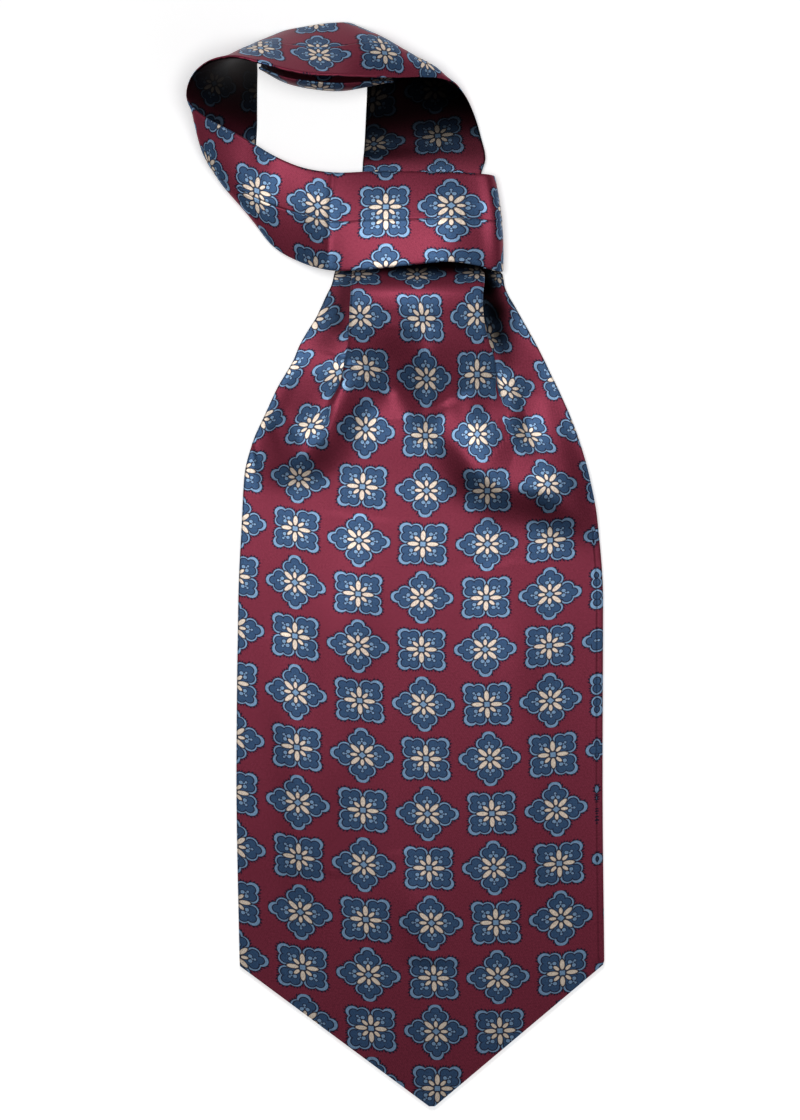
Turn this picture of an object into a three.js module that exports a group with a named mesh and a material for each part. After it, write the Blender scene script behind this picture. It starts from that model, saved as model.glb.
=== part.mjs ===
import * as THREE from "three";

// A silk cravat laid out on a table. Two blades lie one on the other, and the neckband stands up from
// the table as an open loop that turns over in three soft diagonal folds.
// Millimetres, +Z up, +Y towards the loop, the table at Z = 0.

// cloth: each piece is a folded tube of silk, so its wall is two plies pressed together
const bladeWall = 1.2;
const bandWall = 1.5;
const innerPlyWall = 1.0;
const clearance = 0.35; // air between two layers of cloth
const seamGap = 0.6; // along the neckband between two stretches, less on the inside of a bend

// how finely the cloth is divided
const stepsPerSection = 2;
const bandStepsAcross = 10;
const plyStepsAcross = 6;
const bladeStepsAcross = { side: 6, pleat: 8, panel: 10 };

// the pleats of the front blade
const pleatTurn = 10; // cloth used by one S-shaped fold
const panelCrown = 0.22; // how much the middle of the raised panel rounds up, for its height
const restHeight = bladeWall + clearance + bladeWall / 2; // middle of the front blade where it lies flat

// sections across the neckband, in order along it: its rim (the edge that stands up round the loop),
// its middle (the seam line) and its foot (the edge at the table)
const bandSections = [
  // rim x, y, z,           middle x, y, z,         foot x, y, z
  [18.7, 163.0, 0.5, 18.7, 143.6, 0.5, 18.7, 123.9, 0.5], // hidden return under the neck
  [34.2, 163.0, 0.5, 37.2, 143.6, 0.5, 38.0, 123.5, 0.5],
  [39.4, 163.0, 2.3, 42.6, 143.6, 2.3, 43.0, 123.5, 2.3], // roll round the right side of the neck
  [40.8, 163.0, 6.3, 44.0, 143.6, 6.7, 44.2, 123.1, 6.3],
  [38.6, 163.4, 8.8, 42.0, 143.6, 10.6, 42.4, 123.5, 8.2],
  [33.8, 163.8, 9.4, 35.5, 144.5, 12.8, 36.6, 124.6, 9.8],
  [22.9, 164.2, 9.6, 22.9, 144.9, 14.0, 22.9, 126.6, 10.2], // foot stands clear of the pleats
  [6.1, 164.6, 9.6, 6.1, 144.5, 13.8, 6.1, 125.2, 9.8],
  [-10.7, 164.6, 9.8, -10.7, 144.1, 13.0, -10.7, 123.5, 8.8],
  [-25.4, 164.2, 10.2, -26.7, 143.6, 12.0, -27.5, 123.1, 8.0], // crease at the left side of the neck
  [-38.9, 166.3, 10.2, -40.9, 147.4, 10.6, -40.1, 126.8, 6.0],
  [-50.2, 170.9, 10.6, -53.5, 151.6, 9.4, -50.2, 132.7, 2.9],
  [-60.3, 176.8, 11.8, -65.0, 157.1, 7.6, -56.9, 142.0, 0.9], // lower left fold
  [-69.5, 181.9, 14.3, -74.2, 163.2, 7.1, -60.3, 152.9, 0.8],
  [-77.9, 186.1, 17.6, -78.6, 169.9, 8.0, -59.8, 164.6, 0.8],
  [-83.9, 190.3, 21.0, -78.6, 178.5, 9.7, -58.6, 175.1, 0.8],
  [-87.1, 194.5, 23.5, -74.1, 188.2, 11.8, -58.2, 183.5, 0.8], // left stretch, leaning outwards
  [-86.8, 199.9, 26.0, -72.9, 194.5, 13.0, -58.2, 192.4, 0.8],
  [-83.6, 205.6, 29.4, -71.6, 201.2, 14.7, -58.2, 199.9, 0.8],
  [-77.0, 210.0, 33.6, -69.5, 207.7, 17.6, -58.2, 206.2, 0.8],
  [-67.0, 211.3, 37.0, -65.8, 213.8, 19.3, -58.2, 212.1, 0.8], // upper left corner, nearly upright
  [-57.8, 209.2, 37.4, -59.4, 216.6, 20.2, -56.1, 217.8, 0.8],
  [-46.8, 206.2, 35.7, -49.4, 217.2, 18.9, -48.1, 222.8, 0.8], // top stretch, leaning inwards
  [-35.1, 204.1, 33.6, -37.2, 215.9, 18.1, -37.6, 225.3, 0.8],
  [-23.3, 203.7, 31.9, -25.4, 215.9, 17.2, -26.7, 226.9, 0.8],
  [-11.5, 203.3, 29.0, -12.4, 217.6, 17.6, -18.7, 226.5, 0.8],
  [0.2, 203.3, 24.4, -1.3, 216.7, 15.1, -14.5, 223.2, 0.8], // upper right fold
  [10.3, 203.7, 19.7, 6.1, 213.4, 11.8, -12.8, 216.3, 0.8],
  [19.1, 203.3, 14.7, 11.2, 209.3, 8.8, -12.0, 207.1, 0.8],
  [25.4, 200.8, 9.7, 10.3, 202.9, 5.5, -12.0, 197.8, 0.8],
  [30.0, 195.3, 5.5, 10.3, 193.2, 2.9, -12.4, 189.0, 0.8], // right stretch, widening to the neck
  [33.4, 187.7, 3.4, 10.7, 184.4, 1.9, -12.8, 180.6, 0.8],
  [35.9, 179.3, 2.3, 11.5, 176.8, 1.6, -13.2, 173.9, 1.1],
  [37.8, 170.2, 2.7, 12.4, 169.8, 2.6, -13.7, 168.9, 2.5],
  [35.8, 162.5, 3.2, 12.4, 162.5, 3.2, -14.1, 162.5, 3.2],
  [36.2, 144.5, 4.2, 12.4, 144.5, 4.6, -16.6, 144.5, 4.2],
];

// each stretch of the neckband: its name, and the first and last section that it spans
const bandStretches = [
  { name: "neckband_front", from: 0, to: 9 },
  { name: "neckband_crescent", from: 9, to: 16 },
  { name: "neckband_left", from: 16, to: 20 },
  { name: "neckband_top", from: 20, to: 27 },
  { name: "neckband_right", from: 27, to: 35 },
];

// the inner ply of the top stretch, which gapes away from the outer one: rim, middle and foot
const innerPlySections = [
  [-57.0, 207.2, 35.2, -56.2, 208.8, 20.0, -54.6, 216.0, 1.2],
  [-46.8, 203.4, 33.2, -46.6, 204.0, 19.0, -47.4, 220.6, 1.2],
  [-35.1, 201.6, 31.2, -35.1, 201.6, 17.5, -37.2, 223.1, 1.2],
  [-23.3, 200.9, 29.2, -23.3, 201.2, 16.5, -26.6, 224.7, 1.2],
  [-11.9, 201.6, 26.2, -12.4, 203.4, 15.0, -19.0, 224.0, 1.2],
  [-1.0, 201.7, 21.6, -3.4, 206.8, 12.6, -15.0, 220.4, 1.2],
];

// the outline of the blades and the folds of the front one, row by row from the neckband to the tip.
// left and right are the edges; pleatLeft and pleatRight the middles of the two folds; tuckLeft and
// tuckRight the cloth laid under the panel there; the rest are heights over the flat blade.
const bladeRows = [
  // y, left, right, pleatLeft, pleatRight, tuckLeft, tuckRight, sideLeft, panel, sideRight
  [144.0, -19.1, 36.6, -14.2, 30.6, 12.6, 12.6, 0.6, 4.2, 0.6],
  [132.5, -22.5, 36.8, -15.0, 31.4, 12.8, 12.8, 0.6, 4.0, 0.5],
  [126.6, -24.4, 37.0, -15.2, 32.0, 12.6, 12.6, 0.5, 3.5, 0.4],
  [123.4, -25.2, 37.2, -15.4, 33.0, 12.6, 12.6, 0.5, 3.6, 0.4],
  [121.6, -25.8, 43.2, -15.6, 34.8, 12.6, 12.6, 0.5, 5.0, 0.4],
  [119.6, -26.2, 44.9, -15.9, 34.8, 12.4, 12.6, 0.6, 7.2, 0.3],
  [116.8, -27.0, 45.8, -16.2, 34.6, 12.2, 12.6, 0.6, 9.2, 0.3],
  [112.8, -29.0, 47.4, -16.5, 34.1, 12.0, 12.6, 0.6, 10.3, 0.3],
  [108.4, -31.0, 50.0, -16.9, 34.1, 11.8, 12.5, 0.5, 10.2, 0.6],
  [103.4, -33.4, 52.8, -17.3, 34.6, 11.2, 12.3, 0.5, 9.4, 1.0],
  [97.8, -36.9, 56.0, -17.8, 35.7, 10.6, 11.7, 0.5, 8.2, 1.5],
  [91.6, -40.4, 59.4, -18.6, 38.0, 9.6, 10.6, 0.5, 7.0, 1.9],
  [85.7, -42.8, 62.4, -20.2, 40.4, 8.6, 9.0, 0.5, 5.9, 2.0],
  [79.8, -46.2, 65.2, -21.6, 41.6, 7.6, 7.2, 0.5, 4.8, 1.9],
  [74.4, -49.4, 67.9, -23.3, 42.3, 6.2, 5.0, 0.5, 3.9, 1.7],
  [68.9, -52.0, 70.4, -26.0, 43.4, 4.6, 3.0, 0.5, 3.1, 1.3],
  [63.0, -54.7, 73.0, -27.9, 44.0, 2.8, 1.5, 0.4, 2.4, 1.0],
  [52.1, -59.6, 77.1, -28.8, 44.6, 0.8, 0.0, 0.3, 1.4, 0.6],
  [37.4, -63.4, 81.3, -29.4, 45.0, 0.0, 0.0, 0.1, 0.6, 0.2],
  [18.5, -64.5, 84.8, -29.6, 45.0, 0.0, 0.0, 0.0, 0.2, 0.0],
  [-15.1, -66.0, 87.2, -29.6, 45.0, 0.0, 0.0, 0.0, 0.0, 0.0],
  [-90.0, -66.8, 87.0, -29.6, 45.0, 0.0, 0.0, 0.0, 0.0, 0.0],
  [-166.3, -65.5, 87.7, -29.6, 45.0, 0.0, 0.0, 0.0, 0.0, 0.0],
];
const bladeRowNames = [
  "y", "left", "right", "pleatLeft", "pleatRight", "tuckLeft", "tuckRight", "sideLeft", "panel", "sideRight",
];

// the pointed end, and how wide the rounded tip is
const tip = { x: 15.3, y: -227.7, width: 2.4 };
const shoulder = { left: { x: -65.3, y: -168.8 }, right: { x: 87.2, y: -168.2 } };
const tipRows = [0, 0.12, 0.36, 0.62, 0.84, 1];

// soft creases of the front blade: a line from one place to another, its half width, and its height
const creases = [
  // x, y, to x, to y, half width, height
  [-1.0, 108.0, -4.0, 70.0, 8.0, -1.3],
  [12.0, 100.0, 14.0, 70.0, 6.0, 0.7],
  [25.0, 62.0, 33.0, 36.0, 7.0, -0.7],
  [40.0, 70.0, 62.0, 24.0, 9.0, 0.9],
  [46.0, 26.0, 70.0, 18.0, 8.0, -0.5],
  [-30.0, 60.0, -22.0, 44.0, 7.0, -0.6],
  [-44.0, 62.0, -52.0, 30.0, 9.0, 0.6],
];

const silk = { color: 0x7d3048, roughness: 0.55, metalness: 0 };
const shadedSilk = { color: 0x6a2439, roughness: 0.6, metalness: 0 };

function smoothRise(t) {
  const u = THREE.MathUtils.clamp(t, 0, 1);
  return u * u * (3 - 2 * u);
}

// the direction that a grid of points faces at one of them
function gridNormal(grid, i, j) {
  const before = grid[Math.max(i - 1, 0)];
  const after = grid[Math.min(i + 1, grid.length - 1)];
  const along = new THREE.Vector3().subVectors(after[j], before[j]);
  const right = grid[i][Math.min(j + 1, grid[i].length - 1)];
  const across = new THREE.Vector3().subVectors(right, grid[i][Math.max(j - 1, 0)]);
  return along.cross(across).normalize();
}

// a closed wall of the given thickness on a grid of points; nothing reaches below the table
function wallOnGrid(grid, thickness, normals) {
  const rows = grid.length;
  const columns = grid[0].length;
  const positions = [];
  for (const side of [0.5, -0.5]) {
    for (let i = 0; i < rows; i++) {
      for (let j = 0; j < columns; j++) {
        const normal = normals ? normals[i][j] : gridNormal(grid, i, j);
        const point = grid[i][j].clone().addScaledVector(normal, side * thickness);
        positions.push(point.x, point.y, Math.max(0, point.z));
      }
    }
  }
  const index = [];
  const at = (face, i, j) => face * rows * columns + i * columns + j;
  const quad = (a, b, c, d) => index.push(a, b, c, a, c, d);
  for (let i = 0; i + 1 < rows; i++) {
    for (let j = 0; j + 1 < columns; j++) {
      quad(at(0, i, j), at(0, i + 1, j), at(0, i + 1, j + 1), at(0, i, j + 1));
      quad(at(1, i, j), at(1, i, j + 1), at(1, i + 1, j + 1), at(1, i + 1, j));
    }
  }
  for (let i = 0; i + 1 < rows; i++) {
    quad(at(0, i, 0), at(1, i, 0), at(1, i + 1, 0), at(0, i + 1, 0));
    const j = columns - 1;
    quad(at(0, i, j), at(0, i + 1, j), at(1, i + 1, j), at(1, i, j));
  }
  for (let j = 0; j + 1 < columns; j++) {
    quad(at(0, 0, j), at(0, 0, j + 1), at(1, 0, j + 1), at(1, 0, j));
    const i = rows - 1;
    quad(at(0, i, j), at(1, i, j), at(1, i, j + 1), at(0, i, j + 1));
  }
  const geometry = new THREE.BufferGeometry();
  geometry.setAttribute("position", new THREE.Float32BufferAttribute(positions, 3));
  geometry.setIndex(signedVolume(positions, index) < 0 ? index.reverse() : index);
  geometry.computeVertexNormals();
  return geometry;
}

function signedVolume(positions, index) {
  const corner = (k) => new THREE.Vector3().fromArray(positions, 3 * index[k]);
  let volume = 0;
  for (let k = 0; k < index.length; k += 3) {
    volume += corner(k).dot(corner(k + 1).cross(corner(k + 2))) / 6;
  }
  return volume;
}

// a strip of cloth through sections of rim, middle and foot, each joined by a smooth curve
function stripThrough(sections) {
  const curves = [0, 3, 6].map((start) => {
    const points = sections.map((row) => new THREE.Vector3().fromArray(row, start));
    return new THREE.CatmullRomCurve3(points, false, "centripetal");
  });
  const last = sections.length - 1;
  const edges = (s) => curves.map((curve) => curve.getPoint(s / last));
  const point = (s, w) => {
    const [rim, middle, foot] = edges(s);
    return rim
      .multiplyScalar((1 - w) * (1 - 2 * w))
      .addScaledVector(middle, 4 * w * (1 - w))
      .addScaledVector(foot, w * (2 * w - 1));
  };
  return {
    point,
    normal(s, w) {
      const small = 0.02;
      const ends = [Math.max(s - small, 0), Math.min(s + small, last)];
      const along = point(ends[1], w).sub(point(ends[0], w));
      const across = point(s, w + small).sub(point(s, w - small));
      return along.cross(across).normalize();
    },
    // how far to step back along the strip for a gap of the given width at its narrowest
    stepFor(gap, s) {
      const step = 0.05;
      const near = edges(THREE.MathUtils.clamp(s - step, 0, last));
      const far = edges(THREE.MathUtils.clamp(s + step, 0, last));
      const slowest = Math.min(...near.map((p, k) => p.distanceTo(far[k]) / (2 * step)));
      return gap / slowest;
    },
    last,
  };
}

// the wall of one stretch of a strip, between two of its sections
function stripWall(strip, { from, to, stepsAcross, thickness }) {
  const start = from > 0 ? from + strip.stepFor(seamGap / 2, from) : from;
  const end = to < strip.last ? to - strip.stepFor(seamGap / 2, to) : to;
  const steps = (to - from) * stepsPerSection;
  const grid = [];
  const normals = [];
  for (let i = 0; i <= steps; i++) {
    const s = start + ((end - start) * i) / steps;
    const places = Array.from({ length: stepsAcross + 1 }, (_, j) => j / stepsAcross);
    grid.push(places.map((w) => strip.point(s, w)));
    const faces = i === 0 ? from : i === steps ? to : s; // both sides of a seam face the same way
    normals.push(places.map((w) => strip.normal(faces, w)));
  }
  return wallOnGrid(grid, thickness, normals);
}

function bladeRowAt(index) {
  return Object.fromEntries(bladeRowNames.map((name, k) => [name, bladeRows[index][k]]));
}

function distanceToLine(x, y, [x0, y0, x1, y1]) {
  const along = ((x - x0) * (x1 - x0) + (y - y0) * (y1 - y0)) / ((x1 - x0) ** 2 + (y1 - y0) ** 2);
  const t = THREE.MathUtils.clamp(along, 0, 1);
  return Math.hypot(x - x0 - t * (x1 - x0), y - y0 - t * (y1 - y0));
}

function creaseHeight(x, y) {
  let height = 0;
  for (const [x0, y0, x1, y1, halfWidth, rise] of creases) {
    height += rise * Math.exp(-((distanceToLine(x, y, [x0, y0, x1, y1]) / halfWidth) ** 2));
  }
  return height;
}

// one row of the front blade. Across the cloth, each pleat runs forward, back under the panel and
// forward again, an S that opens into a soft step as its tuck runs out.
function frontBladeRow(row) {
  const width = row.right - row.left + row.tuckLeft + row.tuckRight;
  const foldLeft = row.pleatLeft - row.left + row.tuckLeft / 2;
  const foldRight = row.pleatRight - row.left + row.tuckLeft + row.tuckRight / 2;
  const { side, pleat, panel } = bladeStepsAcross;
  const stops = [0, foldLeft - pleatTurn / 2, foldLeft + pleatTurn / 2];
  stops.push(foldRight - pleatTurn / 2, foldRight + pleatTurn / 2, width);
  const steps = [side, pleat, panel, pleat, side];
  const points = [];
  steps.forEach((count, k) => {
    for (let i = k === 0 ? 0 : 1; i <= count; i++) {
      const q = stops[k] + ((stops[k + 1] - stops[k]) * i) / count;
      const onLeft = smoothRise((q - stops[1]) / pleatTurn);
      const onRight = smoothRise((q - stops[3]) / pleatTurn);
      const x = row.left + q - row.tuckLeft * onLeft - row.tuckRight * onRight;
      const onPanel = onLeft - onRight;
      const acrossPanel = (2 * (q - stops[2])) / (stops[3] - stops[2]) - 1;
      const crown = row.panel * panelCrown * onPanel * Math.max(0, 1 - acrossPanel ** 2);
      const inLeft = smoothRise(q / stops[1]) * row.sideLeft * (1 - onLeft);
      const inRight = smoothRise((width - q) / (width - stops[4])) * row.sideRight * onRight;
      const lift = row.panel * onPanel + crown + inLeft + inRight;
      const settled = Math.max(0, lift + creaseHeight(x, row.y));
      points.push(new THREE.Vector3(x, row.y, restHeight + settled));
    }
  });
  return points;
}

// the pointed end keeps the columns of the last row and draws them together to the tip
function tipGrid(lastRow) {
  const first = lastRow[0].x;
  const span = lastRow[lastRow.length - 1].x - first;
  return tipRows.map((share) => {
    const { left, right } = shoulder;
    const edge = (from, to) => THREE.MathUtils.lerp(from, to, share);
    const x0 = edge(left.x, tip.x - tip.width / 2);
    const x1 = edge(right.x, tip.x + tip.width / 2);
    const y0 = edge(left.y, tip.y);
    const y1 = edge(right.y, tip.y);
    return lastRow.map((point) => {
      const t = (point.x - first) / span;
      return new THREE.Vector3(
        THREE.MathUtils.lerp(x0, x1, t),
        THREE.MathUtils.lerp(y0, y1, t),
        restHeight,
      );
    });
  });
}

function frontBlade() {
  const body = bladeRows.map((_, index) => frontBladeRow(bladeRowAt(index)));
  return wallOnGrid([...body, ...tipGrid(body[body.length - 1])], bladeWall);
}

// the back blade lies flat on the table under the front one, a little inside its outline
function backBlade() {
  const inset = 0.8;
  const neckTop = 123.1;
  const rows = bladeRows.map((_, index) => bladeRowAt(index)).filter((row) => row.y < neckTop);
  const outline = [];
  outline.push([-24.6, neckTop], ...rows.map((row) => [row.left + inset, row.y]));
  outline.push([shoulder.left.x + inset, shoulder.left.y]);
  outline.push([tip.x - tip.width / 2, tip.y + inset], [tip.x + tip.width / 2, tip.y + inset]);
  outline.push([shoulder.right.x - inset, shoulder.right.y]);
  outline.push(...rows.map((row) => [row.right - inset, row.y]).reverse(), [42.0, neckTop]);
  const shape = new THREE.Shape(outline.map(([x, y]) => new THREE.Vector2(x, y)));
  return new THREE.ExtrudeGeometry(shape, { depth: bladeWall, bevelEnabled: false });
}

function piece(name, geometry, finish) {
  const mesh = new THREE.Mesh(geometry, new THREE.MeshStandardMaterial(finish));
  mesh.name = name;
  return mesh;
}

const cravat = new THREE.Group();
const band = stripThrough(bandSections);
for (const { name, from, to } of bandStretches) {
  const wall = { from, to, stepsAcross: bandStepsAcross, thickness: bandWall };
  cravat.add(piece(name, stripWall(band, wall), silk));
}
const innerPly = stripThrough(innerPlySections);
const innerWall = { from: 0, to: innerPly.last, stepsAcross: plyStepsAcross, thickness: innerPlyWall };
cravat.add(piece("neckband_top_inner_ply", stripWall(innerPly, innerWall), shadedSilk));
cravat.add(piece("front_blade", frontBlade(), silk));
cravat.add(piece("back_blade", backBlade(), shadedSilk));

export default cravat;
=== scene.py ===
import math

import bmesh
import bpy
import numpy as np
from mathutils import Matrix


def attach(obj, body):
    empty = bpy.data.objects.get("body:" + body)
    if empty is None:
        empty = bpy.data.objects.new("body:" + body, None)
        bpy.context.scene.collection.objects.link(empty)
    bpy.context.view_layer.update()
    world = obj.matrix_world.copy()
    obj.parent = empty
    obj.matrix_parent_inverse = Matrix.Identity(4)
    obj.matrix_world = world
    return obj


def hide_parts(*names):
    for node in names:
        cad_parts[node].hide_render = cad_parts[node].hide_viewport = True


# A printed silk cravat laid out on a table. The frame is in metres, +Y runs from the tip of the
# blades to the loop, and the table is at z = 0.
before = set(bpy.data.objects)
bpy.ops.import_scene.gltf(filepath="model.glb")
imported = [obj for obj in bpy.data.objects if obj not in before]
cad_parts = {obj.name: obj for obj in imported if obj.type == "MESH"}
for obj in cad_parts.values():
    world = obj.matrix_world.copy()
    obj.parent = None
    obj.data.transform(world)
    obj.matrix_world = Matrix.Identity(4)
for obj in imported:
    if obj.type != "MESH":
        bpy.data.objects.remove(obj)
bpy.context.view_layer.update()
mm = 0.001  # the tables of the cloth are in millimetres
tableClearance = 0.02 * mm


def show(stage):
    print("cravat:", stage)


# curves and tables


def smoothRise(t):
    t = np.clip(t, 0.0, 1.0)
    return t * t * (3.0 - 2.0 * t)


def bell(distance, halfWidth):
    return np.exp(-((distance / halfWidth) ** 2))


# a smooth curve through the rows of a table, which never swings past a row
def throughRows(places, values, at):
    order = np.argsort(places)
    x = np.asarray(places, float)[order]
    y = np.asarray(values, float)[order]
    step = np.diff(x)
    slope = np.diff(y) / step
    tangent = np.zeros(len(x))
    for k in range(1, len(x) - 1):
        if slope[k - 1] * slope[k] > 0:
            tangent[k] = 2 * slope[k - 1] * slope[k] / (slope[k - 1] + slope[k])
    tangent[0] = slope[0]
    tangent[-1] = slope[-1]
    k = np.clip(np.searchsorted(x, at, side="right") - 1, 0, len(x) - 2)
    t = np.clip((at - x[k]) / step[k], 0.0, 1.0)
    rise = t * t * (3 - 2 * t)
    start = t * (1 - t) ** 2
    end = t * t * (t - 1)
    return y[k] + (y[k + 1] - y[k]) * rise + step[k] * (tangent[k] * start + tangent[k + 1] * end)


# one column of a table, read smoothly by its first column
def fromTable(table, column, at):
    table = np.asarray(table)
    return throughRows(table[:, 0], table[:, column], at)


# a centripetal Catmull-Rom curve, as the solids have it, read at places counted in points
def alongCurve(points, places):
    points = np.asarray(points, float)
    padded = np.vstack([2 * points[0] - points[1], points, 2 * points[-1] - points[-2]])
    found = []
    for place in places:
        k = min(int(place), len(points) - 2)
        t = place - k
        p0, p1, p2, p3 = padded[k : k + 4]
        d0, d1, d2 = (math.sqrt(np.linalg.norm(b - a)) for a, b in ((p0, p1), (p1, p2), (p2, p3)))
        leave = ((p1 - p0) / d0 - (p2 - p0) / (d0 + d1) + (p2 - p1) / d1) * d1
        arrive = ((p2 - p1) / d1 - (p3 - p1) / (d1 + d2) + (p3 - p2) / d2) * d1
        cubic = 2 * p1 - 2 * p2 + leave + arrive
        square = -3 * p1 + 3 * p2 - 2 * leave - arrive
        found.append(((cubic * t + square) * t + leave) * t + p1)
    return np.array(found)


# how far each place lies from a straight line between two points, and where on the line, from 0 to 1,
# it comes nearest
def nearestOnLine(x, y, start, end):
    (x0, y0), (x1, y1) = start, end
    share = ((x - x0) * (x1 - x0) + (y - y0) * (y1 - y0)) / ((x1 - x0) ** 2 + (y1 - y0) ** 2)
    share = np.clip(share, 0.0, 1.0)
    return np.hypot(x - x0 - share * (x1 - x0), y - y0 - share * (y1 - y0)), share


def runningLength(points, axis):
    steps = np.linalg.norm(np.diff(points, axis=axis), axis=-1)
    start = np.zeros_like(np.take(steps, [0], axis=axis))
    return np.concatenate([start, np.cumsum(steps, axis=axis)], axis=axis)


def facing(grid):
    along = np.gradient(grid, axis=0)
    across = np.gradient(grid, axis=1)
    normal = np.cross(along, across)
    return normal / np.maximum(np.linalg.norm(normal, axis=-1, keepdims=True), 1e-12)


# how a folded edge rounds off: 0 on the edge, 1 from the given radius inwards
def foldedEdge(distance, radius):
    inside = 1.0 - np.clip(distance / radius, 0.0, 1.0)
    return np.sqrt(np.clip(1.0 - inside * inside, 0.0, 1.0))


# cloth as a flattened tube of silk


# distances over the middle of a tube, across it, along it and to its nearer folded edge, and half its
# thickness, which rounds off at the folded edges and at the ends
def measureTube(middle, piece):
    across = runningLength(middle, 1)
    along = runningLength(middle, 0)
    toEdge = np.minimum(across, across[:, -1:] - across)
    toEnd = np.minimum(along, along[-1:] - along)
    radius = piece["edgeRadius"]
    swell = piece["wall"] / 2 * foldedEdge(toEdge, radius) * foldedEdge(toEnd, radius)
    return {"across": across, "along": along, "toEdge": toEdge, "swell": swell}


# what one side of a piece shows: the place on the flat printed cloth, how much of its colour is left under
# the shade painted down in the folds, how far it is from a sewn line, and how far it stands out there, in
# metres
def clothSide(printed, light=1.0, fromSeam=0.05, relief=0.0):
    flat = np.zeros(printed.shape[:2])
    shown = {"light": flat + light, "fromSeam": flat + fromSeam, "relief": flat + relief}
    shown["print"] = printed
    return shown


# middle is a grid of points between the two plies, and swell half the thickness there, nothing on the
# border. The mesh goes over the top and back underneath, and is merged where it meets itself
def clothTube(name, middle, swell, topSide, underSide):
    rows, columns = middle.shape[:2]
    normal = facing(middle)
    front = middle + normal * (swell + topSide["relief"])[..., None]
    back = middle - normal * (swell + underSide["relief"])[..., None]
    bm = bmesh.new()
    bmesh.ops.create_grid(bm, x_segments=2 * (columns - 1), y_segments=rows - 1, size=1.0)
    cloth = bm.loops.layers.uv.new("cloth")
    paintedFoldLight = bm.verts.layers.float.new("paintedFoldLight")
    fromSeam = bm.verts.layers.float.new("fromSeam")
    turn = columns - 1
    place = {}
    for vertex in bm.verts:
        column = round((vertex.co.x + 1) * turn)
        row = round((vertex.co.y + 1) / 2 * (rows - 1))
        place[vertex] = (row, column)
    for face in bm.faces:
        isFront = max(place[vertex][1] for vertex in face.verts) <= turn
        prints = topSide["print"] if isFront else underSide["print"]
        for loop in face.loops:
            row, column = place[loop.vert]
            loop[cloth].uv = prints[row, column if isFront else 2 * turn - column]
    for vertex, (row, column) in place.items():
        isFront = column <= turn
        column = column if isFront else 2 * turn - column
        side = topSide if isFront else underSide
        point = front[row, column] if isFront else back[row, column]
        # each vertex keeps the share of colour left under the painted shade of its fold
        vertex[paintedFoldLight] = side["light"][row, column]
        vertex[fromSeam] = side["fromSeam"][row, column]
        vertex.co = (point[0], point[1], max(point[2], tableClearance))
    bmesh.ops.remove_doubles(bm, verts=bm.verts, dist=0.1 * tableClearance)
    bmesh.ops.recalc_face_normals(bm, faces=bm.faces)
    mesh = bpy.data.meshes.new(name)
    bm.to_mesh(mesh)
    bm.free()
    mesh.polygons.foreach_set("use_smooth", [True] * len(mesh.polygons))
    piece = bpy.data.objects.new(name, mesh)
    bpy.context.scene.collection.objects.link(piece)
    mesh.materials.append(printedSilk)
    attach(piece, "root")
    return piece


# materials


def asColour(value):
    return (*value, 1.0)


# the first inputs of a node; a value may be a number, a colour or another node's output
def fillInputs(tree, sockets, values):
    for socket, value in zip(sockets, values):
        if isinstance(value, bpy.types.NodeSocket):
            tree.links.new(value, socket)
        else:
            socket.default_value = value


def calc(tree, operation, *values):
    node = tree.nodes.new("ShaderNodeMath")
    node.operation = operation
    fillInputs(tree, node.inputs, values)
    return node.outputs[0]


def vectorCalc(tree, operation, *values, output="Vector"):
    node = tree.nodes.new("ShaderNodeVectorMath")
    node.operation = operation
    fillInputs(tree, node.inputs, values)
    return node.outputs[output]


def asVector(tree, x, y):
    node = tree.nodes.new("ShaderNodeCombineXYZ")
    fillInputs(tree, node.inputs, (x, y))
    return node.outputs[0]


def smallestOf(tree, values):
    least = values[0]
    for value in values[1:]:
        least = calc(tree, "MINIMUM", least, value)
    return least


def discs(tree, place, table):
    found = []
    for x, y, radius in table:
        away = vectorCalc(tree, "DISTANCE", place, (x, y, 0.0), output="Value")
        found.append(calc(tree, "SUBTRACT", away, radius))
    return smallestOf(tree, found)


def petal(tree, place, centre, halfLength, halfWidth):
    moved = vectorCalc(tree, "SUBTRACT", place, (centre, 0.0, 0.0))
    sized = vectorCalc(tree, "DIVIDE", moved, (halfLength, halfWidth, 1.0))
    length = vectorCalc(tree, "LENGTH", sized, output="Value")
    return calc(tree, "MULTIPLY", calc(tree, "SUBTRACT", length, 1.0), halfWidth)


def mixColour(tree, share, below, above):
    node = tree.nodes.new("ShaderNodeMix")
    node.data_type = "RGBA"
    sockets = {socket.identifier: socket for socket in node.inputs}
    names = ("Factor_Float", "A_Color", "B_Color")
    fillInputs(tree, [sockets[name] for name in names], (share, below, above))
    return next(socket for socket in node.outputs if socket.identifier == "Result_Color")


def newGroup(name, inputs, outputs):
    tree = bpy.data.node_groups.new(name, "ShaderNodeTree")
    for socketName, kind, value in inputs:
        socket = tree.interface.new_socket(name=socketName, in_out="INPUT", socket_type=kind)
        if value is not None:
            socket.default_value = value
    for socketName, kind in outputs:
        tree.interface.new_socket(name=socketName, in_out="OUTPUT", socket_type=kind)
    groupIn = tree.nodes.new("NodeGroupInput")
    groupOut = tree.nodes.new("NodeGroupOutput")
    return tree, groupIn.outputs, groupOut.inputs


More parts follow.
